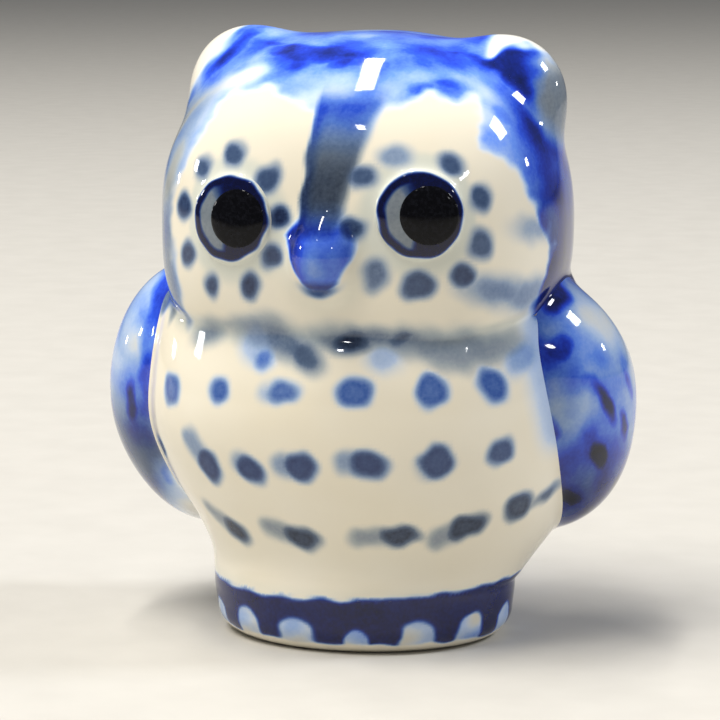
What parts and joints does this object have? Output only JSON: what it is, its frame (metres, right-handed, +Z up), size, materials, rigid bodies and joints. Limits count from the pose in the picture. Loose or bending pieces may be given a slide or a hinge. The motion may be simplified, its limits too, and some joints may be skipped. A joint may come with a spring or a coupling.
{
  "type": "miniature porcelain owl figurine",
  "caption": "A thumb-tip-sized blue and white glazed porcelain owl that stands on its own vented foot, with luted wings, ears, beak, eyes and tail",
  "frame": {"origin": "the mouth of the vent hole, in the middle of the flat underside of the foot", "axes": "+Z up, the owl faces -Y, its own left side is +X"},
  "size_m": [0.0227, 0.0171, 0.0248],
  "materials": {
    "glazed_porcelain": "cream-white porcelain under clear gloss glaze, with painted cobalt marks",
    "cobalt_painted_porcelain": "porcelain washed with cobalt blue under clear gloss glaze",
    "eye_wash_porcelain": "porcelain with a pale grey-blue wash and a navy ring under gloss glaze",
    "black_enamel": "thick glossy black enamel drop"
  },
  "bodies": {
    "root": {"head_shell": "glazed_porcelain", "body_shell": "glazed_porcelain", "foot": "glazed_porcelain", "left_wing": "cobalt_painted_porcelain", "right_wing": "cobalt_painted_porcelain", "left_ear": "cobalt_painted_porcelain", "right_ear": "cobalt_painted_porcelain", "beak": "cobalt_painted_porcelain", "tail": "cobalt_painted_porcelain", "left_eye_disc": "eye_wash_porcelain", "right_eye_disc": "eye_wash_porcelain", "left_pupil": "black_enamel", "right_pupil": "black_enamel"}
  },
  "joints": []
}
